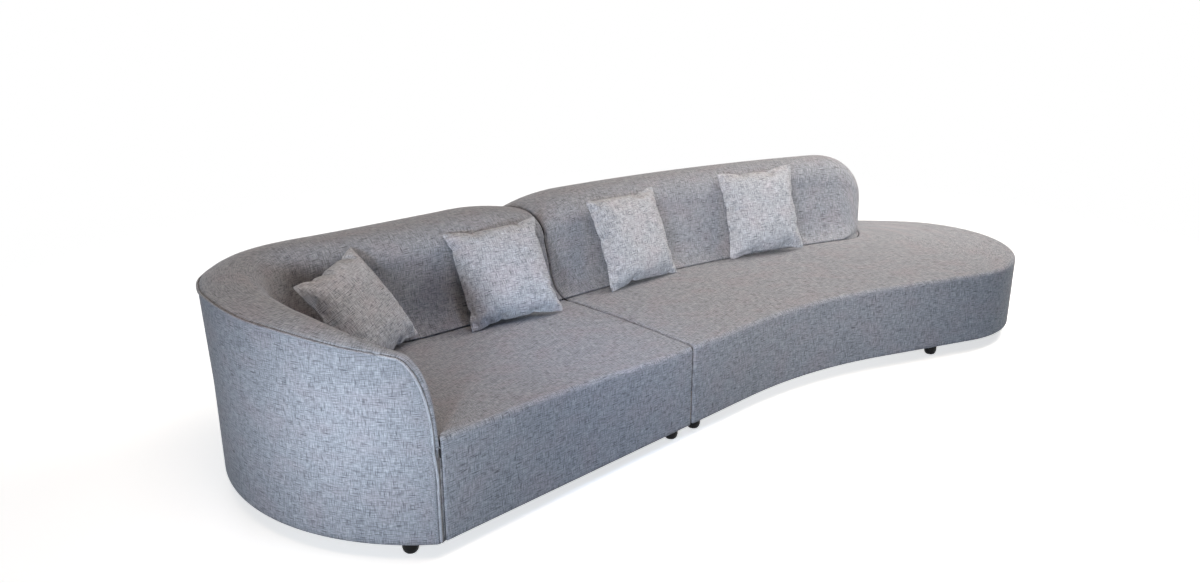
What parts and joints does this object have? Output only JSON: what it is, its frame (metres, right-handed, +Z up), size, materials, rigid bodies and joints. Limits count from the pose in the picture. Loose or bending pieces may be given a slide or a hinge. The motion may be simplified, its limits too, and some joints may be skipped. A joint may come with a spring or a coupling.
{
  "type": "curved sectional sofa",
  "caption": "Curved sectional sofa of an arm module with a tub end and a chaise module with a round open end, on bun feet, with loose scatter cushions.",
  "frame": {"origin": "on the floor under the middle of the sofa's box", "axes": "+X along the arm module's straight seat front towards the chaise's open end, +Y from the seat front to the back, +Z up"},
  "size_m": [3.856, 1.6648, 0.8029],
  "materials": {
    "upholstery": "woven heathered grey linen look",
    "cushion_fabric": "woven heathered grey linen look",
    "filling": "soft fibre filling",
    "timber": "sawn softwood",
    "plywood": "birch plywood",
    "webbing": "elastic webbing",
    "dust_cloth": "non-woven black cloth",
    "foot_plastic": "black satin",
    "steel": "zinc plated"
  },
  "bodies": {
    "arm_module": {"arm_base_rails": "timber", "arm_bearers": "timber", "arm_seat_rail": "plywood", "arm_foot_blocks": "plywood", "arm_webbing": "webbing", "arm_seat_pad": "upholstery", "arm_back_ribs": "plywood", "arm_top_rail": "plywood", "arm_back_pad": "upholstery", "arm_outer_panel": "upholstery", "arm_dust_cloth": "dust_cloth", "arm_feet": "foot_plastic", "arm_foot_studs": "steel", "arm_tee_nuts": "steel", "catch_plates": "steel"},
    "chaise_module": {"chaise_base_rails": "timber", "chaise_bearers": "timber", "chaise_seat_rail": "plywood", "chaise_foot_blocks": "plywood", "chaise_webbing": "webbing", "chaise_seat_pad": "upholstery", "chaise_back_ribs": "plywood", "chaise_top_rail": "plywood", "chaise_back_pad": "upholstery", "chaise_outer_panel": "upholstery", "chaise_dust_cloth": "dust_cloth", "chaise_feet": "foot_plastic", "chaise_foot_studs": "steel", "chaise_tee_nuts": "steel", "tongue_plates": "steel"},
    "corner_cushion": {"corner_cushion_cover": "cushion_fabric", "corner_cushion_filling": "filling"},
    "arm_cushion": {"arm_cushion_cover": "cushion_fabric", "arm_cushion_filling": "filling"},
    "middle_cushion": {"middle_cushion_cover": "cushion_fabric", "middle_cushion_filling": "filling"},
    "end_cushion": {"end_cushion_cover": "cushion_fabric", "end_cushion_filling": "filling"}
  },
  "joints": [
    {"name": "modules_apart", "type": "slide", "parent": "arm_module", "child": "chaise_module", "axis": [1, 0, 0], "range_m": [0, 0.3]},
    {"name": "corner_cushion_lift", "type": "slide", "parent": "arm_module", "child": "corner_cushion", "axis": [0, 0, 1], "range_m": [0, 0.45]},
    {"name": "arm_cushion_lift", "type": "slide", "parent": "arm_module", "child": "arm_cushion", "axis": [0, 0, 1], "range_m": [0, 0.45]},
    {"name": "middle_cushion_lift", "type": "slide", "parent": "chaise_module", "child": "middle_cushion", "axis": [0, 0, 1], "range_m": [0, 0.45]},
    {"name": "end_cushion_lift", "type": "slide", "parent": "chaise_module", "child": "end_cushion", "axis": [0, 0, 1], "range_m": [0, 0.45]}
  ]
}
